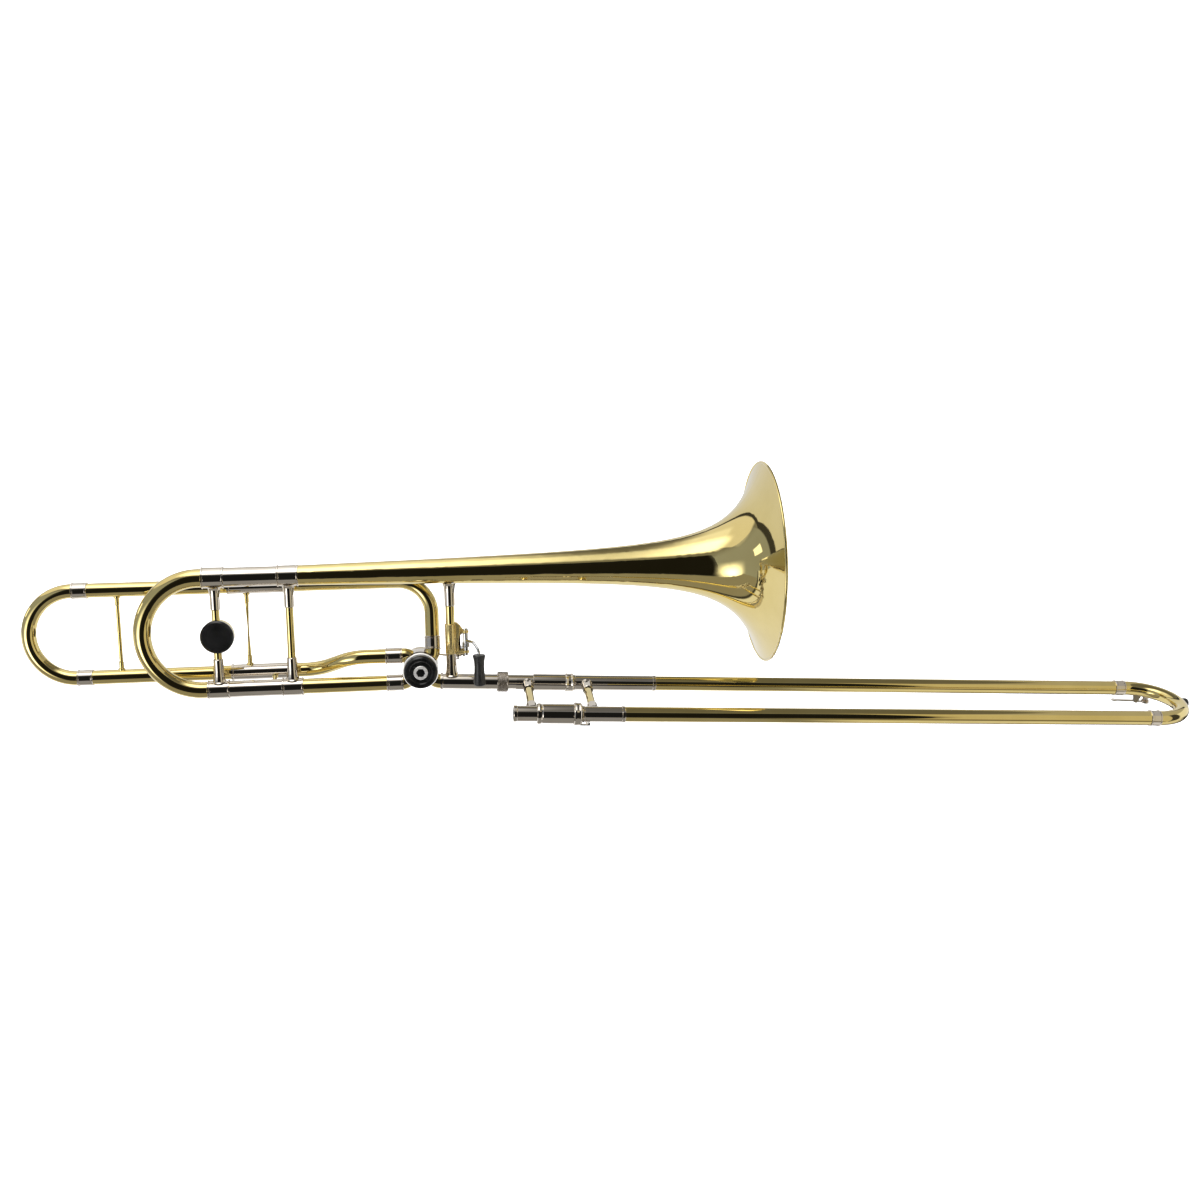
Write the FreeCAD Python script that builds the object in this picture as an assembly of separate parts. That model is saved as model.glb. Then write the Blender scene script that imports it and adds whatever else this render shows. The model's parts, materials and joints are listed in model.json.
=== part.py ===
import FreeCAD, Part
import math
import os

# Tenor trombone with an F attachment, in millimetres, +Z up.
# +X runs along the hand slide towards its bow, -Y is the player's thumb side.
# The origin is on the bell-side slide tube, where the lock nut clamps the slide to the bell section.

os.makedirs("parts", exist_ok=True)
Vec = FreeCAD.Vector

# ---- driving dimensions ----
TILT = math.radians(2.9)          # the bell leans up from the slide by this angle
BELL_HEIGHT = 122.5               # bell axis above the slide axis at the origin
ROLL = math.radians(9.79)         # the slide plane is this far from square to the bell plane
SLIDE_SPACING = 84.0              # between the two hand slide tubes

RIM_U = 270.8                     # bell rim, along the bell axis
BELL_TAIL_U = -231.9              # the bell's small end, inside its ferrule
BELL_WALL = 0.6
MAIN_SPACING = 118.4              # between the legs of the main loop

F_OFFSET = 24.0                   # the F loop lies this far behind the main loop
F_UPPER_V = -13.0
F_LOWER_V = -105.6
F_TUBE_R = 7.55

VALVE_U = -98.4
VALVE_V = -102.4
CASING_R = 18.5
ROTOR_R = 16.75
RUNNING = 0.05                    # radial clearance of every running fit

ROTOR_ARM_R = 12.0                # valve centre to link pin
LEVER_U = -50.0                   # the thumb lever's pivot, parallel to the neck brace
CRANK_R = 17.5
LINK_Y = 16.4                     # the link rod's line past the neck brace
HALF_STROKE = math.radians(29.0)  # half of the lever's swing

# ---- directions ----
U = Vec(math.cos(TILT), 0, math.sin(TILT))        # along the bell
W = Vec(-math.sin(TILT), 0, math.cos(TILT))       # up the braces of the loop
Y = Vec(0, 1, 0)
X = Vec(1, 0, 0)
ACROSS = Vec(0, -math.cos(ROLL), -math.sin(ROLL))  # from the bell-side tube to the mouthpiece tube
DOWN = Vec(0, math.sin(ROLL), -math.cos(ROLL))     # square to the slide plane


def loop(u, v, y=0.0):
    """A point of the bell section: along the bell, up from its axis, and back."""
    return Vec(0, 0, BELL_HEIGHT) + U * u + W * v + Y * y


def slide(x, a=0.0, down=0.0):
    """A point of the hand slide: along it, across to the other tube, and below its plane."""
    return X * x + ACROSS * a + DOWN * down


# ---- general shapes ----
def rod(start, direction, length, radius):
    return Part.makeCylinder(radius, length, start, direction)


def tube(start, direction, length, r_out, r_in):
    return rod(start, direction, length, r_out).cut(rod(start, direction, length, r_in))


def place(shape, start, direction):
    """Turn a shape built along +Z so it runs along direction from start."""
    shape.Placement = FreeCAD.Placement(start, FreeCAD.Rotation(Vec(0, 0, 1), direction))
    return shape


def turned(start, direction, outline):
    """A solid of revolution from a closed outline of (distance, radius) pairs."""
    points = [Vec(r, 0, s) for s, r in outline]
    points.append(points[0])
    face = Part.Face(Part.makePolygon(points))
    return place(face.revolve(Vec(0, 0, 0), Vec(0, 0, 1), 360), start, direction)


def unit(vector):
    return vector * (1.0 / vector.Length)


def path(corners, bends):
    """A wire of straight lines with a round bend at each inner corner."""
    edges = []
    here = corners[0]
    for index, radius in enumerate(bends):
        corner = corners[index + 1]
        before = unit(corner - corners[index])
        after = unit(corners[index + 2] - corner)
        half = before.getAngle(after) / 2
        run = radius * math.tan(half)
        start = corner - before * run
        end = corner + after * run
        inward = unit(after - before)
        middle = corner + inward * (radius / math.cos(half) - radius)
        if (start - here).Length > 1e-6:
            edges.append(Part.makeLine(here, start))
        edges.append(Part.Arc(start, middle, end).toShape())
        here = end
    if (corners[-1] - here).Length > 1e-6:
        edges.append(Part.makeLine(here, corners[-1]))
    return Part.Wire(edges)


def bent_rod(corners, bends, radius):
    wire = path(corners, bends)
    ring = Part.Wire(Part.makeCircle(radius, corners[0], unit(corners[1] - corners[0])))
    return wire.makePipeShell([ring], True, False)


def bent_tube(corners, bends, r_out, r_in):
    return bent_rod(corners, bends, r_out).cut(bent_rod(corners, bends, r_in))


def tapered_bow(corners, bends, r_start, r_end):
    """A bent rod whose radius changes evenly along its length."""
    sweep = Part.BRepOffsetAPI.MakePipeShell(path(corners, bends))
    sweep.setFrenetMode(False)
    sweep.add(Part.Wire(Part.makeCircle(r_start, corners[0], unit(corners[1] - corners[0]))))
    sweep.add(Part.Wire(Part.makeCircle(r_end, corners[-1], unit(corners[-1] - corners[-2]))))
    sweep.build()
    sweep.makeSolid()
    return sweep.shape()


def ferrule(start, direction, length, r_out, bores, bead=0.6):
    """A collar with a raised bead and a fine groove at each end.

    bores is (where the first bore ends, r1, r2)."""
    step, r1, r2 = bores
    wide, groove, depth = 1.8, 0.7, 0.22
    end = [(0, r_out), (0.4, r_out + bead), (wide - 0.4, r_out + bead), (wide, r_out - depth),
           (wide + groove, r_out - depth), (wide + groove + 0.1, r_out)]
    far_end = [(length - along, r) for along, r in reversed(end)]
    outline = [(0, r1)] + end + far_end + [(length, r2), (step, r2), (step, r1)]
    if abs(r1 - r2) < 1e-6:
        outline = outline[:-2]
    return turned(start, direction, outline)


def socket(start, direction, length, r_out, r_in, flare):
    """A brace end that flares where it meets its tube."""
    outline = [(0, r_in), (0, r_out + flare), (1.2, r_out + flare * 0.6), (3.4, r_out + flare * 0.32),
               (6.5, r_out + flare * 0.14), (11.0, r_out),
               (length - 0.8, r_out), (length, r_out - 0.5), (length, r_in)]
    return turned(start, direction, outline)


def brace(p_a, p_b, tubes, r_rod, r_socket, socket_lengths, grip_a, grip_b, flare=2.8):
    """A rod between two tubes with a socket at each end.

    grip_a and grip_b are the radii of the tubes at each end, and tubes are the solids
    that the sockets are cut to fit."""
    along = unit(p_b - p_a)
    span = (p_b - p_a).Length
    seat = 1.6
    start_a = p_a + along * (grip_a - seat)
    start_b = p_b - along * (grip_b - seat)
    bar_start = p_a + along * (grip_a + 1.0)
    bar = rod(bar_start, along, span - grip_a - grip_b - 2.0, r_rod)
    ends = [socket(start_a, along, socket_lengths[0] + seat, r_socket, r_rod, flare),
            socket(start_b, along * -1, socket_lengths[1] + seat, r_socket, r_rod, flare)]
    fitted = []
    for end in ends:
        for solid in tubes:
            end = end.cut(solid)
        fitted.append(end)
    return bar, fitted


def group(shapes):
    """Separate solids that share one node."""
    solids = []
    for shape in shapes:
        solids.extend(shape.Solids)
    return Part.makeCompound(solids)


def save(name, shape):
    solids = shape.Solids
    if not solids or not shape.isValid():
        raise RuntimeError("bad shape: " + name)
    body = solids[0] if len(solids) == 1 else Part.makeCompound(solids)
    body.exportStep("parts/" + name + ".step")
    print(name, len(solids), round(body.Volume, 1))


# ---- bell ----
def bell_radius(behind_rim):
    """The flare: a cone plus a steep power law that opens at the rim."""
    return 16.66 - 0.0141 * behind_rim + 1.0e6 * (behind_rim + 66.9) ** -2.215


def flare_outline(inset):
    stations = [0, 2, 5, 9, 14, 20, 28, 38, 50, 66, 86, 112, 145, 190, 250, 330, 420, RIM_U - BELL_TAIL_U]
    return [(s, bell_radius(s) - inset) for s in stations]


def flare_solid(inset):
    points = [Vec(r, 0, s) for s, r in flare_outline(inset)]
    curve = Part.BSplineCurve()
    curve.interpolate(points)
    first, last = points[0], points[-1]
    edges = [curve.toShape(), Part.makeLine(last, Vec(0, 0, last.z)),
             Part.makeLine(Vec(0, 0, last.z), Vec(0, 0, first.z)), Part.makeLine(Vec(0, 0, first.z), first)]
    solid = Part.Face(Part.Wire(edges)).revolve(Vec(0, 0, 0), Vec(0, 0, 1), 360)
    return place(solid, loop(RIM_U, 0), U * -1)


def bell():
    horn = flare_solid(0).cut(flare_solid(BELL_WALL))
    bead_r = 1.7
    bead = place(Part.makeTorus(bell_radius(0) - 0.6, bead_r), loop(RIM_U + 0.6, 0), U)
    horn = horn.fuse(bead)
    mouth = rod(loop(RIM_U - 0.01, 0), U, 4, bell_radius(0) - bead_r - 1.2)
    return horn.cut(mouth)


# ---- main loop ----
UPPER_SLEEVE_R, UPPER_LEG_R, UPPER_CROOK_R = 10.25, 9.50, 9.80
LOWER_SLEEVE_R, LOWER_LEG_R, LOWER_CROOK_R = 8.70, 8.00, 8.40
UPPER_FERRULE_R, LOWER_FERRULE_R = 10.80, 9.20
LOWER_TUBE_R = 8.10
CROOK_END_U, SLEEVE_U, FIXED_FERRULE_U, FIXED_TUBE_U = -320.0, -297.0, -243.5, -221.4
JOINT_U = -232.4                  # the middle of the fixed ferrules
CROOK_JOINT_U = -312.0            # crook meets leg inside the moving ferrules
MAIN_LEG_END_U = -240.0
VALVE_FERRULE_L = 17.5
TUBE_WALL = 0.55


def main_sleeves():
    length = JOINT_U - SLEEVE_U
    upper = tube(loop(SLEEVE_U, 0), U, length, UPPER_SLEEVE_R, UPPER_LEG_R + RUNNING)
    lower = tube(loop(SLEEVE_U, -MAIN_SPACING), U, length, LOWER_SLEEVE_R, LOWER_LEG_R + RUNNING)
    return [upper, lower]


def main_fixed_ferrules():
    length = FIXED_TUBE_U - FIXED_FERRULE_U
    half = JOINT_U - FIXED_FERRULE_U
    upper = ferrule(loop(FIXED_FERRULE_U, 0), U, length, UPPER_FERRULE_R + 0.1, (half, UPPER_SLEEVE_R, 9.9))
    upper = upper.cut(flare_solid(0))
    lower = ferrule(loop(FIXED_FERRULE_U, -MAIN_SPACING), U, length, LOWER_FERRULE_R,
                    (half, LOWER_SLEEVE_R, LOWER_TUBE_R))
    return [upper, lower]


def main_crook_parts():
    half = MAIN_SPACING / 2
    far_u = -324.0 - half
    corners = [loop(CROOK_JOINT_U, 0), loop(far_u, 0), loop(far_u, -MAIN_SPACING),
               loop(CROOK_JOINT_U, -MAIN_SPACING)]
    bends = [half, half]
    outer = tapered_bow(corners, bends, UPPER_CROOK_R, LOWER_CROOK_R)
    inner = tapered_bow(corners, bends, UPPER_CROOK_R - TUBE_WALL, LOWER_CROOK_R - TUBE_WALL)
    crook = outer.cut(inner)
    length = SLEEVE_U - 0.3 - CROOK_END_U
    step = CROOK_JOINT_U - CROOK_END_U
    collars = [ferrule(loop(CROOK_END_U, 0), U, length, UPPER_FERRULE_R, (step, UPPER_CROOK_R, UPPER_LEG_R)),
               ferrule(loop(CROOK_END_U, -MAIN_SPACING), U, length, LOWER_FERRULE_R,
                       (step, LOWER_CROOK_R, LOWER_LEG_R))]
    collars = [collar.cut(outer) for collar in collars]
    leg = MAIN_LEG_END_U - CROOK_JOINT_U
    legs = [tube(loop(CROOK_JOINT_U, 0), U, leg, UPPER_LEG_R, UPPER_LEG_R - TUBE_WALL),
            tube(loop(CROOK_JOINT_U, -MAIN_SPACING), U, leg, LOWER_LEG_R, LOWER_LEG_R - TUBE_WALL)]
    return crook, collars, legs


BRACE_ROD_R, BRACE_SOCKET_R = 4.1, 5.2
MOVING_BRACE_U = -307.8
NECK_BRACE_U = -65.8
WEIGHT_V = -61.3
WEIGHT_R = 17.0


def moving_brace():
    top, bottom = loop(MOVING_BRACE_U, 0), loop(MOVING_BRACE_U, -MAIN_SPACING)
    cores = [rod(loop(MOVING_BRACE_U - 20, 0), U, 40, UPPER_FERRULE_R),
             rod(loop(MOVING_BRACE_U - 20, -MAIN_SPACING), U, 40, LOWER_FERRULE_R)]
    return brace(top, bottom, cores, BRACE_ROD_R, BRACE_SOCKET_R, (23.0, 23.5),
                 UPPER_FERRULE_R, LOWER_FERRULE_R)


def counterweight():
    centre = loop(MOVING_BRACE_U + 1.0, WEIGHT_V)
    drum = turned(centre - Y * 5.2, Y, [(0, 0), (0, WEIGHT_R - 0.6), (0.6, WEIGHT_R), (8.6, WEIGHT_R),
                                        (10.4, WEIGHT_R - 1.8), (10.4, 0)])
    drum = drum.cut(rod(loop(MOVING_BRACE_U, WEIGHT_V - 25), W, 50, BRACE_ROD_R))
    disc = turned(centre - Y * 5.2, Y * -1, [(0, 0), (0, WEIGHT_R + 0.2), (2.6, WEIGHT_R + 0.2),
                                             (4.4, WEIGHT_R - 1.5), (4.4, 0)])
    return drum, disc


def loop_braces(neck_tube):
    upper_core = rod(loop(JOINT_U - 20, 0), U, 40, UPPER_FERRULE_R + 0.1)
    lower_core = rod(loop(JOINT_U - 20, -MAIN_SPACING), U, 40, LOWER_FERRULE_R)
    first = brace(loop(JOINT_U, 0), loop(JOINT_U, -MAIN_SPACING), [upper_core, lower_core],
                  BRACE_ROD_R, BRACE_SOCKET_R, (22.5, 22.5), UPPER_FERRULE_R + 0.1, LOWER_FERRULE_R)
    bell_r = bell_radius(RIM_U - NECK_BRACE_U)
    bottom = loop(NECK_BRACE_U, -119.3)
    second = brace(loop(NECK_BRACE_U, 0), bottom, [flare_solid(0), neck_tube], 4.8, 5.5,
                   (24.0, 23.0), bell_r, NECK_R)
    return [first[0], second[0]], first[1] + second[1]


# ---- F loop ----
F_SLEEVE_U, F_SLEEVE_END_U, F_SLEEVE_R = -298.0, -229.0, 8.3
F_CROOK_U = -456.0
F_FERRULE_U, F_FERRULE_END_U = -456.0, -440.0
F_LEG_END_U = -243.0
F_FIXED_START_U = -240.0
F_WALL = 0.4
F_MOVING_BRACE_U, F_FIXED_BRACE_U, STANDOFF_U = -411.0, -278.6, -252.3


def f_sleeves():
    parts = []
    for v in (F_UPPER_V, F_LOWER_V):
        outline = [(0, F_TUBE_R + RUNNING), (0, F_SLEEVE_R + 0.6), (2.2, F_SLEEVE_R + 0.6), (2.6, F_SLEEVE_R)]
        length = F_SLEEVE_END_U - F_SLEEVE_U
        outline += [(length, F_SLEEVE_R), (length, F_TUBE_R + RUNNING)]
        parts.append(turned(loop(F_SLEEVE_U, v, F_OFFSET), U, outline))
    return parts


def f_slide_parts():
    half = (F_UPPER_V - F_LOWER_V) / 2
    middle = (F_FERRULE_U + F_FERRULE_END_U) / 2
    far_u = F_CROOK_U - half
    corners = [loop(middle, F_UPPER_V, F_OFFSET), loop(far_u, F_UPPER_V, F_OFFSET),
               loop(far_u, F_LOWER_V, F_OFFSET), loop(middle, F_LOWER_V, F_OFFSET)]
    crook = bent_tube(corners, [half, half], F_TUBE_R, F_TUBE_R - F_WALL)
    collars, legs = [], []
    for v in (F_UPPER_V, F_LOWER_V):
        length = F_FERRULE_END_U - F_FERRULE_U
        collars.append(ferrule(loop(F_FERRULE_U, v, F_OFFSET), U, length, F_TUBE_R + 0.75,
                               (length / 2, F_TUBE_R, F_TUBE_R), 0.5))
        legs.append(tube(loop(middle, v, F_OFFSET), U, F_LEG_END_U - middle, F_TUBE_R, F_TUBE_R - F_WALL))
    return crook, collars, legs


def slender_brace(u, grip, r_foot, r_neck, r_mid, neck):
    """A thin turned stay between the two F legs, thickest at its feet."""
    top = loop(u, F_UPPER_V, F_OFFSET)
    span = F_UPPER_V - F_LOWER_V
    a, b, mid = grip - 1.0, span - grip + 1.0, span / 2
    outline = [(a, 0), (a, r_foot), (grip + 0.8, r_foot), (grip + 1.6, r_neck), (grip + neck, r_neck),
               (grip + neck + 1.0, r_neck * 0.8), (mid - 4, r_mid), (mid + 4, r_mid),
               (span - grip - neck - 1.0, r_neck * 0.8), (span - grip - neck, r_neck),
               (span - grip - 1.6, r_neck), (span - grip - 0.8, r_foot), (b, r_foot), (b, 0)]
    stay = turned(top, W * -1, outline)
    for v in (F_UPPER_V, F_LOWER_V):
        stay = stay.cut(rod(loop(u - 12, v, F_OFFSET), U, 24, grip))
    return stay


def standoff():
    low = loop(STANDOFF_U, -MAIN_SPACING)
    high = loop(STANDOFF_U, F_LOWER_V, F_OFFSET)
    along = unit(high - low)
    span = (high - low).Length
    a, b = LOWER_SLEEVE_R - 0.8, span - F_SLEEVE_R + 0.8
    outline = [(a, 0), (a, 3.6), (a + 1.8, 3.4), (a + 2.8, 2.1),
               (b - 2.8, 2.1), (b - 1.8, 3.0), (b, 3.2), (b, 0)]
    post = turned(low, along, outline)
    post = post.cut(rod(loop(STANDOFF_U - 8, -MAIN_SPACING), U, 16, LOWER_SLEEVE_R))
    return post.cut(rod(loop(STANDOFF_U - 8, F_LOWER_V, F_OFFSET), U, 16, F_SLEEVE_R))


# ---- valve ----
PORT_LEAN = math.radians(45)
ELBOW = 10.0
F_OUT_U = VALVE_U + 13.2
F_RETURN_V = VALVE_V + 13.2
PORT_BORE = 7.0
KNUCKLE_R = 7.75
NECK_R = 8.2
NECK_END_X = -72.0
NECK_JOINT_X = -70.4
OUT_FERRULE_V = (-84.0, -70.0)
RETURN_FERRULE_U = (-135.0, -117.5)
OUTLET_FERRULE_U = (-134.5, -117.0)


def valve_point(y=0.0):
    return loop(VALVE_U, VALVE_V, y)


def valve_paths():
    """Each knuckle's corners, from the valve centre outward, and its bends."""
    centre = valve_point()
    top_corner = loop(F_OUT_U, F_UPPER_V, F_OFFSET)
    out_corner = loop(F_OUT_U, VALVE_V + (F_OUT_U - VALVE_U))
    up = unit(top_corner - out_corner)
    out_end = out_corner + up * (-77.0 - (VALVE_V + 13.2))
    return_corner = loop(VALVE_U - (F_RETURN_V - VALVE_V), F_RETURN_V)
    return_end = loop(sum(RETURN_FERRULE_U) / 2, F_RETURN_V)
    drop = VALVE_V + MAIN_SPACING
    outlet_corner = loop(VALVE_U - drop, -MAIN_SPACING)
    outlet_end = loop(sum(OUTLET_FERRULE_U) / 2, -MAIN_SPACING)
    neck_way = unit(U - W)
    neck_corner = centre + neck_way * (-centre.z / neck_way.z)
    neck_end = Vec(NECK_JOINT_X, 0, 0)
    paths = {"f_out": [centre, out_corner, out_end], "f_return": [centre, return_corner, return_end],
             "outlet": [centre, outlet_corner, outlet_end], "neck": [centre, neck_corner, neck_end]}
    return paths, up, top_corner


def knuckles(paths):
    barrel = rod(valve_point(-25), Y, 60, CASING_R)
    parts = []
    for name in ("f_out", "f_return", "outlet", "neck"):
        outer = bent_rod(paths[name], [ELBOW], KNUCKLE_R)
        inner = bent_rod(paths[name], [ELBOW], PORT_BORE)
        parts.append(outer.cut(barrel).cut(inner))
    return parts


CASING_FRONT, CASING_BACK = -20.0, 17.0


def casing(paths):
    shell = turned(valve_point(CASING_FRONT), Y, [
        (0, ROTOR_R + RUNNING), (0, CASING_R), (5.0, CASING_R), (5.6, CASING_R - 0.5),
        (31.4, CASING_R - 0.5), (32.0, CASING_R), (37.0, CASING_R), (37.0, ROTOR_R + RUNNING)])
    band = tube(valve_point(-9.5), Y, 19.0, CASING_R, ROTOR_R + RUNNING)
    shell = shell.fuse(band)
    for name in paths:
        shell = shell.cut(bent_rod(paths[name], [ELBOW], PORT_BORE))
    return shell


def back_plate():
    return turned(valve_point(CASING_BACK), Y, [(0, 4.2 + RUNNING), (0, CASING_R), (1.7, CASING_R),
                                                (2.3, CASING_R - 0.6), (2.3, 8.0), (3.0, 7.2),
                                                (3.0, 4.2 + RUNNING)])


def valve_cap():
    front = CASING_FRONT
    return turned(valve_point(front), Y * -1, [
        (0, 13.5), (0, 17.6), (6.6, 17.6), (8.6, 16.9), (10.0, 15.2), (10.0, 12.4), (9.3, 11.4),
        (9.3, 7.4), (3.0, 7.4), (3.0, 13.5)])


def cap_nut():
    start = valve_point(CASING_FRONT - 3.2)
    knob = turned(start, Y * -1, [(0, 0), (0, 7.35), (7.6, 7.35), (8.2, 6.9), (8.2, 0)])
    corners = []
    for k in range(7):
        angle = math.radians(60 * k)
        corners.append(Vec(4.9 * math.cos(angle), 4.9 * math.sin(angle), 0))
    hexagon = Part.Face(Part.makePolygon(corners))
    recess = place(hexagon.extrude(Vec(0, 0, 8)), start - Y * 4.2, Y * -1)
    return knob.cut(recess)


def rotor():
    body = turned(valve_point(-14), Y, [
        (-3.0, 0), (-3.0, 3.6), (0, 3.6), (0, ROTOR_R), (28.0, ROTOR_R), (28.0, 4.2), (34.6, 4.2),
        (34.6, 2.6), (38.4, 2.6), (38.4, 0)])
    reach = ROTOR_R + 3.0
    centre = valve_point()
    up_right, up_left = unit(U + W), unit(W - U)
    for first, second in ((up_right * -1, up_left * -1), (up_right, up_left)):
        a, b = centre + first * reach, centre + second * reach
        corner_bend = ROTOR_R - 0.2
        body = body.cut(bent_rod([a, centre, b], [corner_bend], 6.4))
    return body


PIN_FRONT, PIN_BACK = 20.9, 28.6


def rotor_arm():
    """The stop arm: a lever on the rotor's stem with the link pin at its tip."""
    tip = unit(W - U)
    side = unit(U + W)
    hub = rod(valve_point(PIN_FRONT), Y, 3.4, 5.4)
    tip_point = valve_point(PIN_FRONT) + tip * ROTOR_ARM_R
    boss = rod(tip_point, Y, 3.0, 3.0)
    web = Part.makePolygon([valve_point(PIN_FRONT) + side * 4.2, tip_point + side * 2.8,
                            tip_point - side * 2.8, valve_point(PIN_FRONT) - side * 4.2,
                            valve_point(PIN_FRONT) + side * 4.2])
    arm = hub.fuse(boss).fuse(Part.Face(web).extrude(Y * 2.6))
    arm = arm.cut(rod(valve_point(PIN_FRONT - 1), Y, 6, 2.6))
    pin = rod(tip_point, Y, PIN_BACK - PIN_FRONT, 1.5)
    head = rod(tip_point + Y * (PIN_BACK - PIN_FRONT - 0.8), Y, 0.9, 2.3)
    return arm.fuse(pin).fuse(head)


def rotor_bumpers():
    """Two rubber stops on the back plate, one for each end of the arm's quarter turn."""
    parts = []
    for degrees in (168.5, 11.5):
        angle = math.radians(degrees)
        at = valve_point(CASING_BACK + 2.3) + U * (11.2 * math.cos(angle)) + W * (11.2 * math.sin(angle))
        parts.append(rod(at, Y, 5.0, 2.5))
    return parts


def valve_ferrules(paths, up):
    """Ferrules between the knuckles and their tubes, cut to clear the knuckles' bends and the casing."""
    bores = (5.0, KNUCKLE_R, KNUCKLE_R)
    r_out = 8.35
    out_length = OUT_FERRULE_V[1] - OUT_FERRULE_V[0]
    out_start = valve_paths()[0]["f_out"][2] - up * (out_length / 2)
    return_length = RETURN_FERRULE_U[1] - RETURN_FERRULE_U[0]
    rings = {"f_out": ferrule(out_start, up, out_length, r_out, bores, 0.5),
             "f_return": ferrule(loop(RETURN_FERRULE_U[0], F_RETURN_V), U, return_length, r_out, bores, 0.5),
             "outlet": ferrule(loop(OUTLET_FERRULE_U[0], -MAIN_SPACING), U, VALVE_FERRULE_L, 8.75,
                               (8.75, LOWER_TUBE_R, KNUCKLE_R), 0.5)}
    barrel = rod(valve_point(-25), Y, 60, CASING_R)
    return [ring.cut(bent_rod(paths[name], [ELBOW], KNUCKLE_R)).cut(barrel) for name, ring in rings.items()]


def f_fixed_tubes(paths, top_corner):
    start_up = loop(F_FIXED_START_U, F_UPPER_V, F_OFFSET)
    upper = [start_up, top_corner, paths["f_out"][2]]
    bend_tube = bent_tube(upper, [36.0], F_TUBE_R + RUNNING, F_TUBE_R - F_WALL)
    lower = [loop(F_FIXED_START_U, F_LOWER_V, F_OFFSET), loop(-207, F_LOWER_V, F_OFFSET),
             loop(-169, F_RETURN_V), paths["f_return"][2]]
    return_tube = bent_tube(lower, [45.0, 45.0], F_TUBE_R + RUNNING, F_TUBE_R - F_WALL)
    return bend_tube, return_tube


def main_lower_tube():
    end_u = sum(OUTLET_FERRULE_U) / 2
    return tube(loop(JOINT_U, -MAIN_SPACING), U, end_u - JOINT_U, LOWER_TUBE_R, LOWER_TUBE_R - TUBE_WALL)


# ---- neck, lock nut and thumb lever ----
NUT_LEFT_X = -11.7
RECEIVER_END_X = -3.6
TENON_R = 7.35
COLLAR_R = 8.15
TENON_START_X = -45.0


def neck_receiver():
    """The nickel tube that takes the slide's tenon, threaded outside for the lock nut."""
    end = RECEIVER_END_X - NECK_END_X
    joint = NECK_JOINT_X - NECK_END_X
    stop = TENON_START_X - 0.6 - NECK_END_X
    return turned(Vec(NECK_END_X, 0, 0), X, [
        (0, KNUCKLE_R), (0, NECK_R + 0.9), (2.2, NECK_R + 0.9), (2.8, NECK_R), (end, NECK_R),
        (end, TENON_R + RUNNING), (stop, TENON_R + RUNNING), (stop, PORT_BORE), (joint, PORT_BORE),
        (joint, KNUCKLE_R)])


def lock_nut():
    """A knurled ring: flats cut round its middle, with a plain rim at each side."""
    ring = turned(Vec(NUT_LEFT_X, 0, 0), X, [
        (0, NECK_R + RUNNING), (0, 10.6), (0.5, 11.1), (2.2, 11.1), (2.5, 10.8), (9.2, 10.8),
        (9.5, 11.1), (11.2, 11.1), (11.7, 10.6), (11.7, 7.7 + RUNNING), (10.1, 7.7 + RUNNING),
        (10.1, NECK_R + RUNNING)])
    grooves = []
    count = 36
    for k in range(count):
        angle = 2 * math.pi * k / count
        at = Vec(NUT_LEFT_X + 2.7, 10.95 * math.cos(angle), 10.95 * math.sin(angle))
        grooves.append(rod(at, X, 6.3, 0.45))
    return ring.cut(Part.makeCompound(grooves))


LEVER_TOP_V, LEVER_BOTTOM_V = -64.2, -89.0
HUB_R, PIVOT_R = 2.7, 1.2


def lever_point(du, v, y=0.0):
    return loop(LEVER_U + du, v, y)


def lever_bracket():
    """A cast bracket on the neck brace: a saddle, a back and two arms that hold the lever's pivot."""
    brace_r, thick, half_width = 4.8, 3.0, 2.6
    height = LEVER_TOP_V - LEVER_BOTTOM_V
    saddle = tube(loop(NECK_BRACE_U, LEVER_BOTTOM_V), W, height + 8.0, brace_r + 1.1, brace_r)
    shape = saddle.cut(rod(loop(NECK_BRACE_U - 8.0, LEVER_BOTTOM_V - 1), W, 40, 8.6))
    reach = LEVER_U - NECK_BRACE_U
    top, bottom = LEVER_TOP_V, LEVER_BOTTOM_V
    side = [(4.0, top + 9.0), (6.2, top + 9.0), (10.6, top + 5.4), (12.4, top), (reach, top),
            (reach, top - thick),
            (10.8, top - thick), (9.2, top - thick - 1.8), (9.2, bottom + thick + 1.8),
            (10.8, bottom + thick), (reach, bottom + thick), (reach, bottom), (7.6, bottom),
            (4.0, bottom - 1.6)]
    corners = [loop(NECK_BRACE_U + du, v, -half_width) for du, v in side]
    shape = shape.fuse(Part.Face(Part.makePolygon(corners + corners[:1])).extrude(Y * (2 * half_width)))
    for v in (top - thick, bottom):
        shape = shape.fuse(rod(lever_point(0, v), W, thick, 3.4))
    shape = shape.cut(rod(lever_point(0, bottom - 2), W, 32, PIVOT_R))
    return shape.cut(rod(loop(NECK_BRACE_U, bottom - 3), W, 44, brace_r))


def lever_pivot():
    low = LEVER_BOTTOM_V - 0.8
    pin = rod(lever_point(0, low), W, LEVER_TOP_V - low + 0.6, PIVOT_R)
    head = turned(lever_point(0, LEVER_TOP_V), W, [(0, 0), (0, 2.8), (1.2, 2.8), (1.8, 2.0), (1.8, 0)])
    foot_outline = [(0, 0), (0, 2.6), (1.8, 2.6), (2.2, 2.2), (2.2, 0)]
    foot = turned(lever_point(0, LEVER_BOTTOM_V), W * -1, foot_outline)
    return pin.fuse(head).fuse(foot)


GRIP_DU, GRIP_Y = 13.0, -19.0
GRIP_TOP_V, GRIP_BOTTOM_V = -87.6, -120.6
WIRE_R = 1.5


def crank_end():
    """Where the crank holds the link, with the lever at rest."""
    return -CRANK_R * math.sin(HALF_STROKE), CRANK_R * math.cos(HALF_STROKE)


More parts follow.
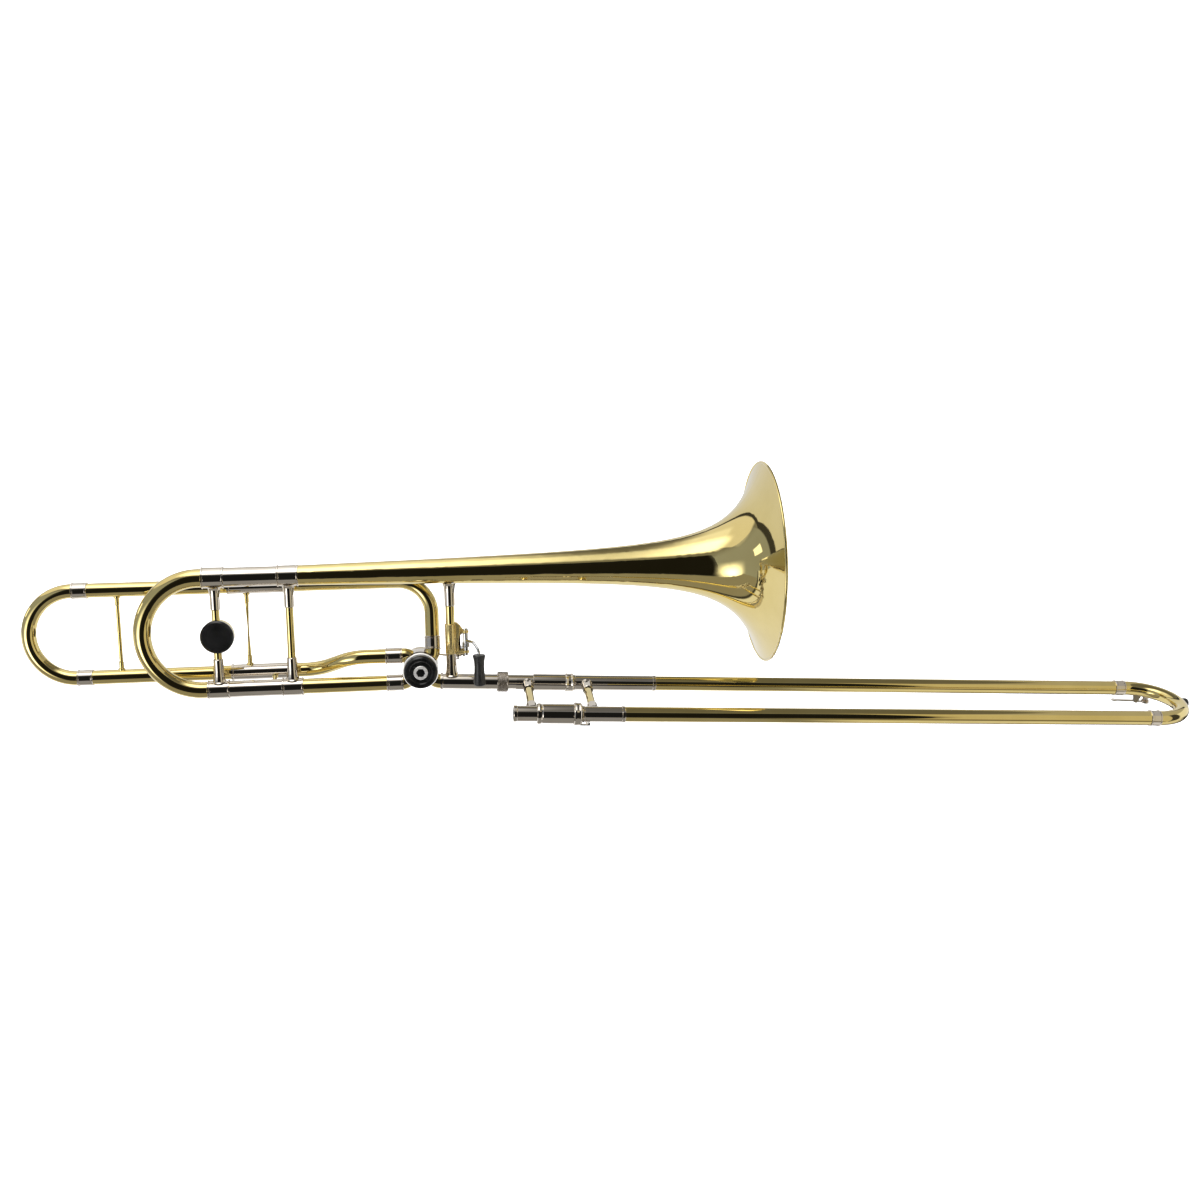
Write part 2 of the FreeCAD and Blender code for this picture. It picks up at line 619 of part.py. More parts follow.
def thumb_lever():
    bottom, top = LEVER_BOTTOM_V + 3.2, LEVER_TOP_V - 3.6
    hub = rod(lever_point(0, bottom), W, top - bottom, HUB_R)
    du, dy = crank_end()
    along = unit(U * du + Y * dy)
    side = along.cross(W)
    crank_v = bottom
    a, b = lever_point(0, crank_v), lever_point(du, crank_v, dy)
    web = Part.Face(Part.makePolygon([a + side * 2.4, b + side * 1.9, b - side * 1.9, a - side * 2.4,
                                      a + side * 2.4])).extrude(W * 2.4)
    boss = rod(b, W, 2.4, 2.8)
    pin = rod(b - W * 12.4, W, 13.4, 1.05)
    foot = rod(b - W * 12.6, W, 0.9, 1.7)
    grip_top = lever_point(GRIP_DU, GRIP_TOP_V - 20, GRIP_Y)
    wire_v = top - 7.5
    corners = [lever_point(0.4, wire_v, -1.0), lever_point(GRIP_DU - 5.5, wire_v, GRIP_Y + 7.0),
               lever_point(GRIP_DU, wire_v - 8.0, GRIP_Y), grip_top]
    wire = bent_rod(corners, [8.0, 8.0], WIRE_R)
    shape = hub.fuse(web).fuse(boss).fuse(pin).fuse(foot).fuse(wire)
    return shape.cut(rod(lever_point(0, bottom - 1), W, 30, PIVOT_R + RUNNING))


def thumb_grip(lever):
    """A waisted rubber grip moulded over the lever's wire."""
    length = GRIP_TOP_V - GRIP_BOTTOM_V
    outline = [(0, 0), (0, 6.0), (0.8, 6.7), (2.0, 6.7), (4.5, 6.1), (8.0, 5.5), (13.0, 5.3), (20.0, 5.6),
               (length - 3.0, 6.3), (length - 0.8, 6.0), (length, 5.2), (length, 0)]
    body = turned(lever_point(GRIP_DU, GRIP_TOP_V, GRIP_Y), W * -1, outline)
    return body.cut(lever)


def coil(start, direction, radius, wire_r, pitch, turns):
    helix = Part.makeHelix(pitch, pitch * turns, radius)
    ring = Part.Wire(Part.makeCircle(wire_r, Vec(radius, 0, 0), Vec(0, 1, 0)))
    return place(Part.Wire(helix.Edges).makePipeShell([ring], True, True), start, direction)


def lever_spring():
    return coil(lever_point(0, LEVER_BOTTOM_V + 6.4), W, HUB_R + 0.95, 0.4, 0.9, 5.5)


def link_rod():
    """The rod from the rotor's arm to the crank, with an eye at each end."""
    pin_u, pin_v = -ROTOR_ARM_R * math.sin(PORT_LEAN), ROTOR_ARM_R * math.cos(PORT_LEAN)
    pin_y = 26.2
    eye_u, eye_v = VALVE_U + pin_u, VALVE_V + pin_v
    first = rod(loop(eye_u, eye_v, pin_y - 1.4), Y, 2.8, 3.4)
    end_u = LEVER_U + crank_end()[0]
    last = rod(loop(end_u, eye_v - 1.5, LINK_Y), W, 3.0, 4.0)
    corners = [loop(eye_u + 2.0, eye_v, pin_y), loop(-86.0, eye_v, pin_y), loop(-71.0, eye_v, LINK_Y),
               loop(end_u, eye_v, LINK_Y)]
    bar = bent_rod(corners, [8.0, 8.0], 1.15)
    tail = rod(loop(end_u + 3.0, eye_v, LINK_Y), U, 5.4, 1.0)
    nut_outline = [(0, 0), (0, 2.2), (0.4, 2.6), (2.0, 2.6), (2.4, 2.2), (2.4, 0)]
    nut = turned(loop(end_u + 5.2, eye_v, LINK_Y), U, nut_outline)
    shape = first.fuse(bar).fuse(last).fuse(tail).fuse(nut)
    shape = shape.cut(rod(loop(eye_u, eye_v, pin_y - 3), Y, 6, 1.5 + RUNNING))
    return shape.cut(rod(loop(end_u, eye_v - 4, LINK_Y), W, 8, 2.35))


# ---- inner slide ----
INNER_R, STOCKING_R, INNER_BORE = 7.30, 7.38, 6.95
OUTER_BORE, OUTER_R, GRIP_SLEEVE_R = 7.45, 7.75, 8.05
INNER_BRACE_X, OUTER_BRACE_X = 21.0, 84.2
RECEIVER_X, RECEIVER_BORE_END_X = 1.3, 26.3
MOUTH_BORE = 6.35
INNER_END_X = 662.0


def slide_tenon():
    return turned(Vec(TENON_START_X, 0, 0), X, [
        (0, INNER_BORE), (0, TENON_R - 0.3), (1.0, TENON_R), (41.7, TENON_R),
        (41.7, COLLAR_R), (43.2, COLLAR_R), (43.2, 7.7), (72.0, 7.7), (72.0, INNER_R),
        (60.0, INNER_R), (60.0, INNER_BORE)])


def inner_tubes():
    upper_x, lower_x = TENON_START_X + 60.0, RECEIVER_BORE_END_X + 0.2
    parts = []
    for start_x, a in ((upper_x, 0.0), (lower_x, SLIDE_SPACING)):
        length = INNER_END_X - start_x
        stocking = length - 95.0
        parts.append(turned(slide(start_x, a), X, [
            (0, INNER_BORE), (0, INNER_R), (stocking, INNER_R), (stocking + 1.5, STOCKING_R),
            (length - 0.6, STOCKING_R), (length, STOCKING_R - 0.2), (length, INNER_BORE)]))
    return parts


def leadpipe():
    start = RECEIVER_BORE_END_X + 0.2
    return turned(slide(start, SLIDE_SPACING), X, [
        (0, 6.1), (0, INNER_BORE), (18, INNER_BORE), (24, 6.5), (150, 6.85), (196, INNER_BORE),
        (200, INNER_BORE), (200, 6.8), (24, 5.9), (8, 5.9)])


def mouthpiece_receiver():
    """The socket for the mouthpiece shank, at the near end of the lower tube."""
    step = RECEIVER_BORE_END_X - RECEIVER_X
    return turned(slide(RECEIVER_X, SLIDE_SPACING), X, [
        (0, MOUTH_BORE), (0, 8.3), (0.4, 8.5), (3.3, 8.5), (3.8, 8.0), (31.7, 8.0), (31.7, INNER_R),
        (step + 0.2, INNER_R), (step + 0.2, MOUTH_BORE)])


def upper_cork_barrel():
    shell = turned(slide(27.0), X, [
        (0, INNER_R), (0, 8.5), (0.4, 8.85), (34.4, 8.85), (34.8, 9.7), (35.6, 10.2), (37.6, 9.4),
        (40.4, 9.4), (42.0, 10.2), (43.0, 9.6), (43.0, 8.15), (3.0, 8.15), (3.0, INNER_R)])
    lug = rod(slide(63.0, 0, 8.6), X, 5.4, 1.8).cut(rod(slide(60), X, 12, 8.6))
    return shell.fuse(lug)


LOCK_X = 62.9
LOCK_SEAT_R = 9.9


def lower_cork_barrel():
    return turned(slide(25.2, SLIDE_SPACING), X, [
        (0, 8.0), (0, 9.6), (0.6, 10.6), (2.2, 10.9), (4.0, 10.6), (5.2, 9.9), (6.0, 10.25), (37.2, 10.25),
        (37.4, LOCK_SEAT_R), (45.4, LOCK_SEAT_R), (45.4, 10.6), (46.0, 10.6), (46.2, 10.2), (46.2, 8.6),
        (7.8, 8.6), (7.8, 8.0)])


def slide_lock():
    """A ring that turns on the cork barrel, with a hook that catches the slide's stud."""
    ring = turned(slide(LOCK_X, SLIDE_SPACING), X, [
        (0, LOCK_SEAT_R + RUNNING), (0, 10.9), (0.8, 11.8), (2.6, 12.0), (5.0, 11.6), (6.6, 11.9),
        (7.4, 11.2), (7.4, LOCK_SEAT_R + RUNNING)])
    hook = turned(slide(LOCK_X + 6.6, SLIDE_SPACING), X, [
        (0, 11.0), (0, 12.0), (10.6, 12.0), (10.6, 9.2), (8.6, 9.2), (8.6, 11.0)])
    blade = sector(14.0, slide(LOCK_X, SLIDE_SPACING), LOCK_HOOK_DEG, 15.0, 30)
    return ring.fuse(hook.common(blade))


LOCK_HOOK_DEG = 12.0
LOCK_TURN_DEG = 26.0


def sector(radius, start, middle_deg, half_deg, length):
    """A wedge about the lower slide tube. Zero degrees points down from the slide plane."""
    points = [start]
    for step in range(7):
        angle = math.radians(middle_deg - half_deg + 2 * half_deg * step / 6)
        outward = DOWN * math.cos(angle) + ACROSS * math.sin(angle)
        points.append(start + outward * (radius * 1.2))
    points.append(start)
    return Part.Face(Part.makePolygon(points)).extrude(X * length)


def slide_brace(x, grip_a, grip_b, solids):
    return brace(slide(x), slide(x, SLIDE_SPACING), solids, 4.25, 5.6, (14.0, 14.0), grip_a, grip_b, 1.1)


def brace_saddle():
    """A curved plate that spreads the inner brace's upper foot along the tube."""
    plate = tube(slide(8.5), X, 18.2, 8.6, 7.7)
    saddle = plate.common(sector(9.0, slide(8.5), 90.0, 50.0, 18.2))
    along = unit(slide(0, SLIDE_SPACING) - slide(0))
    return saddle.cut(rod(slide(INNER_BRACE_X), along, 20, 4.25))


# ---- hand slide ----
OUTER_START_X, OUTER_END_X = 36.0, 693.4
BOW_START_X = 699.3
BOW_FERRULE_X, BOW_FERRULE_L = 687.0, 11.8


def outer_tubes():
    length = OUTER_END_X - OUTER_START_X
    return [tube(slide(OUTER_START_X, a), X, length, OUTER_R, OUTER_BORE) for a in (0.0, SLIDE_SPACING)]


def grip_sleeve(start_x, end_x, a):
    length = end_x - start_x
    return turned(slide(start_x, a), X, [
        (0, OUTER_R), (0, 8.2), (0.5, 8.5), (1.6, 8.5), (2.0, GRIP_SLEEVE_R), (length - 3.4, GRIP_SLEEVE_R),
        (length - 3.0, 8.5), (length - 0.5, 8.5), (length, 8.2), (length, OUTER_R)])


def lower_grip_sleeve():
    """The lower sleeve, and the small stud on it that the slide lock's hook catches."""
    sleeve = grip_sleeve(72.0, 116.0, SLIDE_SPACING)
    angle = math.radians(LOCK_HOOK_DEG + LOCK_TURN_DEG + 7.0)
    outward = DOWN * math.cos(angle) + ACROSS * math.sin(angle)
    base = slide(75.9, SLIDE_SPACING)
    stud = rod(base + outward * 7.9, outward, 2.9, 1.0)
    return [sleeve, stud.cut(rod(slide(72.0, SLIDE_SPACING), X, 10, GRIP_SLEEVE_R))]


def bow():
    half = SLIDE_SPACING / 2
    far_x = BOW_START_X + half
    corners = [slide(OUTER_END_X), slide(far_x), slide(far_x, SLIDE_SPACING),
               slide(OUTER_END_X, SLIDE_SPACING)]
    return bent_rod(corners, [half, half], OUTER_R), bent_rod(corners, [half, half], OUTER_R - 0.5)


def bow_bumper(bow_outer):
    """A rubber button on the bow's outermost point."""
    far_x = BOW_START_X + SLIDE_SPACING / 2 + OUTER_R
    button = turned(slide(far_x - 6.0, SLIDE_SPACING / 2), X, [
        (0, 0), (0, 5.2), (7.6, 5.2), (9.4, 4.6), (10.4, 2.8), (10.4, 0)])
    return button.cut(bow_outer)


# ---- water key ----
KEY_X, KEY_A, KEY_DOWN = 714.5, 3.6, 12.6
KEY_LEAN = math.radians(21)
KEY_ALONG = X * math.cos(KEY_LEAN) + ACROSS * math.sin(KEY_LEAN)
KEY_SIDE = KEY_ALONG.cross(DOWN)
NIPPLE_REACH = 10.0
KEY_TAIL, TAIL_DROP = 23.0, 3.4   # the finger end lies this far back and this much lower
KEY_PIN_R = 0.9


def key_point(along=0.0, side=0.0, down=0.0):
    return slide(KEY_X, KEY_A, KEY_DOWN) + KEY_ALONG * along + KEY_SIDE * side + DOWN * down


def key_plate(a, b, half_width, start_down, thick):
    """A flat bar between two points of the key, square to DOWN."""
    p, q = key_point(a, 0, start_down), key_point(b, 0, start_down)
    w = KEY_SIDE * half_width
    return Part.Face(Part.makePolygon([p - w, q - w, q + w, p + w, p - w])).extrude(DOWN * thick)


def water_key_seat(bow_outer):
    """The drain nipple and the saddle that carries the key's pin."""
    nipple = turned(key_point(NIPPLE_REACH, 0, -7.6), DOWN, [
        (0, 1.9), (0, 4.0), (2.8, 3.4), (5.9, 3.0), (6.3, 2.7), (6.3, 1.9)]).cut(bow_outer)
    saddle = key_plate(-4.0, 4.0, 5.0, -7.5, 3.5)
    for side in (-4.4, 4.4):
        ear = rod(key_point(0, side - 0.6, 0), KEY_SIDE, 1.2, 2.2)
        wall = [(-3.4, -5.0), (3.4, -5.0), (2.1, 0.4), (-2.1, 0.4), (-3.4, -5.0)]
        corners = [key_point(along, side - 0.6, down) for along, down in wall]
        post = Part.Face(Part.makePolygon(corners)).extrude(KEY_SIDE * 1.2)
        saddle = saddle.fuse(ear).fuse(post)
    saddle = saddle.cut(bow_outer)
    pin = rod(key_point(0, -5.6), KEY_SIDE, 11.2, KEY_PIN_R)
    return [nipple, saddle.fuse(pin)]


def water_key_lever():
    hub = rod(key_point(0, -3.5), KEY_SIDE, 7.0, 1.9)
    front = key_plate(0.0, NIPPLE_REACH, 1.9, 0.6, 1.3)
    cup = rod(key_point(NIPPLE_REACH, 0, 0.6), DOWN, 1.3, 4.3)
    skirt = tube(key_point(NIPPLE_REACH, 0, -0.9), DOWN, 1.6, 4.3, 3.6)
    bar = [(0, 0.4), (-KEY_TAIL, TAIL_DROP), (-KEY_TAIL, TAIL_DROP + 1.2), (0, 1.9), (0, 0.4)]
    corners = [key_point(along, -1.7, down) for along, down in bar]
    tail = Part.Face(Part.makePolygon(corners)).extrude(KEY_SIDE * 3.4)
    paddle = rod(key_point(-KEY_TAIL, 0, TAIL_DROP), DOWN, 1.2, 3.2)
    shape = hub.fuse(front).fuse(cup).fuse(skirt).fuse(tail).fuse(paddle)
    return shape.cut(rod(key_point(0, -6), KEY_SIDE, 12, KEY_PIN_R + RUNNING))


def water_key_cork():
    return rod(key_point(NIPPLE_REACH, 0, -1.2), DOWN, 1.8, 3.6)


def water_key_spring():
    """Two short coils round the key's hub, one on each side of its bar."""
    return [coil(key_point(0, side), KEY_SIDE, 2.45, 0.4, 0.85, 1.0) for side in (2.3, -3.15)]


# ---- assembly ----
def build():
    parts = {}
    paths, up, top_corner = valve_paths()
    parts["bell"] = bell()
    parts["main_slide_sleeves"] = group(main_sleeves())
    fixed_ferrules = main_fixed_ferrules()
    parts["main_fixed_ferrules"] = group(fixed_ferrules)
    parts["main_lower_tube"] = main_lower_tube()
    crook, collars, legs = main_crook_parts()
    parts["main_crook"] = crook
    parts["main_crook_ferrules"] = group(collars)
    parts["main_slide_legs"] = group(legs)
    bar, sockets = moving_brace()
    parts["weight_brace_rod"] = bar
    parts["weight_brace_sockets"] = group(sockets)
    parts["counterweight_body"], parts["counterweight_disc"] = counterweight()

    parts["f_slide_sleeves"] = group(f_sleeves())
    crook, collars, legs = f_slide_parts()
    parts["f_crook"] = crook
    parts["f_crook_ferrules"] = group(collars)
    parts["f_slide_legs"] = group(legs)
    parts["f_slide_brace"] = slender_brace(F_MOVING_BRACE_U, F_TUBE_R, 3.5, 2.5, 2.1, 8.0)
    parts["f_fixed_brace"] = slender_brace(F_FIXED_BRACE_U, F_SLEEVE_R, 3.6, 2.4, 0.9, 9.0)
    parts["sleeve_standoff"] = standoff()
    parts["f_bend_tube"], parts["f_return_tube"] = f_fixed_tubes(paths, top_corner)

    parts["valve_knuckles"] = group(knuckles(paths))
    parts["valve_ferrules"] = group(valve_ferrules(paths, up))
    parts["valve_casing"] = casing(paths)
    parts["valve_back_plate"] = back_plate()
    parts["valve_cap"] = valve_cap()
    parts["valve_cap_nut"] = cap_nut()
    parts["rotor"] = rotor()
    parts["rotor_arm"] = rotor_arm()
    parts["rotor_bumpers"] = group(rotor_bumpers())

    neck = neck_receiver()
    parts["neck_receiver"] = neck
    neck_core = rod(Vec(NECK_END_X, 0, 0), X, 60, NECK_R)
    rods, sockets = loop_braces(neck_core)
    parts["loop_brace_rods"] = group(rods)
    parts["loop_brace_sockets"] = group(sockets)
    parts["lock_nut"] = lock_nut()
    parts["lever_bracket"] = lever_bracket().cut(parts["loop_brace_sockets"])
    parts["lever_pivot"] = lever_pivot()
    parts["thumb_lever"] = thumb_lever()
    parts["thumb_grip"] = thumb_grip(parts["thumb_lever"])
    parts["lever_spring"] = lever_spring()
    parts["link_rod"] = link_rod()

    parts["slide_tenon"] = slide_tenon()
    parts["inner_slide_tubes"] = group(inner_tubes())
    parts["leadpipe"] = leadpipe()
    parts["mouthpiece_receiver"] = mouthpiece_receiver()
    parts["upper_cork_barrel"] = upper_cork_barrel()
    parts["lower_cork_barrel"] = lower_cork_barrel()
    inner_cores = [rod(slide(0), X, 40, 7.7), rod(slide(0, SLIDE_SPACING), X, 60, 8.0)]
    bar, sockets = slide_brace(INNER_BRACE_X, 7.7, 8.0, inner_cores)
    upper_barrel_cut = rod(slide(27.0), X, 20, 8.9)
    lower_barrel_cut = rod(slide(25.2, SLIDE_SPACING), X, 20, 10.95)
    upper_foot = sockets[0].fuse(brace_saddle()).cut(upper_barrel_cut)
    parts["inner_brace_rod"] = bar
    parts["inner_brace_sockets"] = group([upper_foot, sockets[1].cut(lower_barrel_cut)])
    parts["slide_lock"] = slide_lock()

    parts["outer_slide_tubes"] = group(outer_tubes())
    parts["upper_grip_sleeve"] = grip_sleeve(70.4, 160.0, 0.0)
    parts["lower_grip_sleeve"] = group(lower_grip_sleeve())
    outer_cores = [rod(slide(60, a), X, 60, GRIP_SLEEVE_R) for a in (0.0, SLIDE_SPACING)]
    bar, sockets = slide_brace(OUTER_BRACE_X, GRIP_SLEEVE_R, GRIP_SLEEVE_R, outer_cores)
    parts["outer_brace_rod"] = bar
    parts["outer_brace_sockets"] = group(sockets)
    parts["bow_ferrules"] = group([ferrule(slide(BOW_FERRULE_X, a), X, BOW_FERRULE_L, 8.3,
                                           (6.7, OUTER_R, OUTER_R), 0.5) for a in (0.0, SLIDE_SPACING)])
    bow_outer, bow_inner = bow()
    drain = rod(key_point(NIPPLE_REACH, 0, -7.6), DOWN, 8.0, 1.9)
    parts["slide_bow"] = bow_outer.cut(bow_inner).cut(drain)
    parts["bow_bumper"] = bow_bumper(bow_outer)
    parts["water_key_seat"] = group(water_key_seat(bow_outer))
    parts["water_key_lever"] = water_key_lever()
    parts["water_key_cork"] = water_key_cork()
    parts["water_key_spring"] = group(water_key_spring())
    return parts


for part_name, part_shape in build().items():
    save(part_name, part_shape)
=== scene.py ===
import json
import math

import bmesh
import bpy
from mathutils import Matrix, Vector


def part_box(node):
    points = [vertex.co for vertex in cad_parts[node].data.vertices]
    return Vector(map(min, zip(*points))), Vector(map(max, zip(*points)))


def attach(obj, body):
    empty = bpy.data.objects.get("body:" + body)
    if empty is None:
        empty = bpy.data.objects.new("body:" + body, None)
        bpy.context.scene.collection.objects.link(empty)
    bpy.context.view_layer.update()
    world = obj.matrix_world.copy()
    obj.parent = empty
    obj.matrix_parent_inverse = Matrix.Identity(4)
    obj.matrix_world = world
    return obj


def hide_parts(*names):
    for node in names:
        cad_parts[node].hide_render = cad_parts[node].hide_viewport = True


# Looks of the trombone: lacquered brass, nickel silver and black fittings in a soft white studio.
# Everything is in metres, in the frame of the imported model.

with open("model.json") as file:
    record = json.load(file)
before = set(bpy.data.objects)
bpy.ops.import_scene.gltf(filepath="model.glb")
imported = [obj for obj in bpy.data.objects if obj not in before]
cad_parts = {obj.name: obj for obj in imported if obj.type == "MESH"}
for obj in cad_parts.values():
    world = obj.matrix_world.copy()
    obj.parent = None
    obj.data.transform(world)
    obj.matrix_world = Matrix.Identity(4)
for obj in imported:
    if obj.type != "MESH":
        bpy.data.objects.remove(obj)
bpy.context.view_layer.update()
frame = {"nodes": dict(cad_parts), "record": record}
nodes = frame["nodes"]

# ---- driving values ----
FLOOR_Z = -0.45                  # the instrument is held well above the floor
FLOOR_FRONT_Y = 0.05             # where the rear and front halves of the paper floor meet
SWEEP_BACK_Y = 1.9
SWEEP_RADIUS = 0.8
PAPER_TOP = 3.2
PAPER_HALF_WIDTH = 4.5
NEAR_WALL_Y = -5.3               # the paper behind the camera
PAPER_SIDE_FRONT_Y = -5.4
PAPER_GLOW = 0.45
ROOM_LIGHT = 0.22


# ---- node helpers ----
def new_material(name):
    material = bpy.data.materials.new(name)
    material.use_nodes = True
    tree = material.node_tree
    shader = tree.nodes["Principled BSDF"]
    return material, tree, shader


def add(tree, kind, **values):
    node = tree.nodes.new(kind)
    for key, value in values.items():
        setattr(node, key, value)
    return node


def object_coordinates(tree):
    return add(tree, "ShaderNodeTexCoord").outputs["Object"]


def noise(tree, scale, detail=3.0, roughness=0.5, stretch=(1, 1, 1)):
    """A noise of the given scale in metres of object space, optionally stretched."""
    mapping = add(tree, "ShaderNodeMapping")
    mapping.inputs["Scale"].default_value = stretch
    tree.links.new(object_coordinates(tree), mapping.inputs["Vector"])
    texture = add(tree, "ShaderNodeTexNoise")
    texture.inputs["Scale"].default_value = scale
    texture.inputs["Detail"].default_value = detail
    texture.inputs["Roughness"].default_value = roughness
    tree.links.new(mapping.outputs["Vector"], texture.inputs["Vector"])
    return texture.outputs["Fac"]


def ranged(tree, value, low, high, from_low=0.3, from_high=0.7):
    node = add(tree, "ShaderNodeMapRange")
    node.inputs["From Min"].default_value = from_low
    node.inputs["From Max"].default_value = from_high
    node.inputs["To Min"].default_value = low
    node.inputs["To Max"].default_value = high
    tree.links.new(value, node.inputs["Value"])
    return node.outputs["Result"]


def two_tone(tree, value, dark, light, low=0.35, high=0.65):
    ramp = add(tree, "ShaderNodeValToRGB")
    ramp.color_ramp.elements[0].position = low
    ramp.color_ramp.elements[0].color = (*dark, 1)
    ramp.color_ramp.elements[1].position = high
    ramp.color_ramp.elements[1].color = (*light, 1)
    tree.links.new(value, ramp.inputs["Fac"])
    return ramp.outputs["Color"]


def bump(tree, shader, height, strength, distance):
    node = add(tree, "ShaderNodeBump")
    node.inputs["Strength"].default_value = strength
    node.inputs["Distance"].default_value = distance
    tree.links.new(height, node.inputs["Height"])
    tree.links.new(node.outputs["Normal"], shader.inputs["Normal"])


# ---- materials ----
def metal(name, dark, light, rough_low, rough_high, haze_scale=18, scratch=0.02, coat=0.0, solid=1.0):
    """Polished metal: cloudy tone, uneven polish and very fine rubbing marks along the tubes."""
    material, tree, shader = new_material(name)
    shader.inputs["Metallic"].default_value = solid
    cloud = noise(tree, haze_scale, 4.0, 0.55)
    tree.links.new(two_tone(tree, cloud, dark, light), shader.inputs["Base Color"])
    rub = noise(tree, 260, 2.0, 0.6, (0.06, 1, 1))
    tree.links.new(ranged(tree, rub, rough_low, rough_high), shader.inputs["Roughness"])
    bump(tree, shader, rub, scratch, 0.00002)
    if coat:
        shader.inputs["Coat Weight"].default_value = coat
        shader.inputs["Coat Roughness"].default_value = 0.03
        shader.inputs["Coat IOR"].default_value = 1.5
    return material


def make_materials():
    made = {}
    made["brass"] = metal("lacquered_brass", (0.79, 0.64, 0.25), (0.86, 0.71, 0.30), 0.025, 0.055, coat=0.7)
    made["nickel"] = metal("nickel_silver", (0.70, 0.645, 0.57), (0.79, 0.735, 0.66), 0.03, 0.065)
    made["chrome"] = metal("chromed_tube", (0.70, 0.71, 0.72), (0.76, 0.77, 0.78), 0.05, 0.09)
    made["steel"] = metal("spring_steel", (0.42, 0.41, 0.40), (0.55, 0.54, 0.52), 0.22, 0.32, scratch=0.1)
    # nickel for the cap nut: the higher roughness is its satin finish; the pale, partly non-metallic base is
    # painted highlight
    made["satin_nickel_painted_highlight"] = metal("satin_nickel_painted_highlight", (0.82, 0.80, 0.77), (0.92, 0.90, 0.87), 0.20, 0.32,
                                 scratch=0.15, solid=0.7)
    made["cast_brass"] = metal("cast_brass", (0.78, 0.60, 0.24), (0.88, 0.71, 0.32), 0.10, 0.18,
                               haze_scale=90, scratch=0.04, coat=0.5, solid=0.85)
    made["knurled_nickel"] = metal("knurled_nickel", (0.34, 0.30, 0.26), (0.56, 0.51, 0.46), 0.14, 0.24,
                                   haze_scale=500, scratch=0.04)
    # pale, partly non-metallic nickel for the casing rim: painted highlight, so the rim looks bright all
    # round
    made["rim_painted_highlight"] = metal("rim_painted_highlight", (0.88, 0.86, 0.82), (0.95, 0.93, 0.90), 0.10, 0.16,
                               haze_scale=60, solid=0.35)
    made["black_gloss"] = black("black_gloss", 0.005, 0.09, 0.14, 0.02)
    made["black_enamel"] = black("black_enamel", 0.006, 0.06, 0.11, 0.01)
    made["rubber"] = black("grip_rubber", 0.011, 0.24, 0.38, 0.25)
    made["cork"] = cork()
    return made


def black(name, tone, rough_low, rough_high, grain):
    material, tree, shader = new_material(name)
    cloud = noise(tree, 60, 3.0)
    tree.links.new(two_tone(tree, cloud, (tone * 0.7,) * 3, (tone * 1.4,) * 3), shader.inputs["Base Color"])
    fine = noise(tree, 1800, 3.0, 0.6)
    tree.links.new(ranged(tree, fine, rough_low, rough_high), shader.inputs["Roughness"])
    bump(tree, shader, fine, grain, 0.0001)
    return material


def cork():
    material, tree, shader = new_material("natural_cork")
    grain = noise(tree, 900, 5.0, 0.7)
    tone = two_tone(tree, grain, (0.28, 0.16, 0.08), (0.66, 0.47, 0.29))
    tree.links.new(tone, shader.inputs["Base Color"])
    shader.inputs["Roughness"].default_value = 0.85
    bump(tree, shader, grain, 0.6, 0.0002)
    return material


NODE_FINISH = {
    "lacquered_brass": "brass", "nickel_silver": "nickel", "chromed_tube": "chrome",
    "black_cap": "black_gloss", "black_enamel": "black_enamel", "grip_rubber": "rubber",
    "black_rubber": "rubber", "cork": "cork", "spring_steel": "steel",
}
SPECIAL_FINISH = {"valve_cap_nut": "satin_nickel_painted_highlight", "thumb_lever": "chrome", "lever_spring": "chrome",
                  "lever_pivot": "chrome"}


def dress_nodes(materials):
    slots = {part["node"]: part["material_slot"] for part in frame["record"]["subparts"]}
    for name, node in nodes.items():
        material = materials[SPECIAL_FINISH.get(name, NODE_FINISH[slots[name]])]
        node.data.materials.clear()
        node.data.materials.append(material)


# ---- pieces made here ----
MM = 0.001
TILT = math.radians(2.9)
BELL_AXIS_HEIGHT = 122.5 * MM
VALVE_ALONG, VALVE_UP = -98.4, -102.4                  # the valve's axis, in millimetres
ALONG = Vector((math.cos(TILT), 0, math.sin(TILT)))    # along the bell
UP = Vector((-math.sin(TILT), 0, math.cos(TILT)))      # up the braces
BACK = Vector((0, 1, 0))


def loop_point(along, up, back=0.0):
    """A point of the bell section, from millimetres along the bell, up from its axis and back."""
    return Vector((0, 0, BELL_AXIS_HEIGHT)) + (ALONG * along + UP * up + BACK * back) * MM


def finish_piece(name, mesh_data, material, body, replaced=()):
    mesh = bpy.data.meshes.new(name)
    bmesh.ops.recalc_face_normals(mesh_data, faces=mesh_data.faces)
    mesh_data.to_mesh(mesh)
    mesh_data.free()
    mesh.materials.append(material)
    obj = link(bpy.data.objects.new(name, mesh))
    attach(obj, body)
    if replaced:
        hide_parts(*replaced)
    return obj


def grid_faces(made, rings, around, closed):
    """Quads between rings of vertices that each go once round."""
    count = len(rings) if closed else len(rings) - 1
    for row in range(count):
        low, high = rings[row], rings[(row + 1) % len(rings)]
        for k in range(around):
            face = made.faces.new((low[k], low[(k + 1) % around], high[(k + 1) % around], high[k]))
            face.smooth = True


def lathe(made, start, direction, outline, around=64, lift=None):
    """A closed ring of revolution. outline holds (distance, radius) in millimetres."""
    direction = direction.normalized()
    side = direction.orthogonal().normalized()
    other = direction.cross(side)
    rings = []
    for distance, radius in outline:
        ring = []
        for k in range(around):
            angle = 2 * math.pi * k / around
            out = radius + (lift(distance, angle) if lift else 0.0)
            ring.append(made.verts.new(start + (direction * distance
                        + (side * math.cos(angle) + other * math.sin(angle)) * out) * MM))
        rings.append(ring)
    grid_faces(made, rings, around, True)


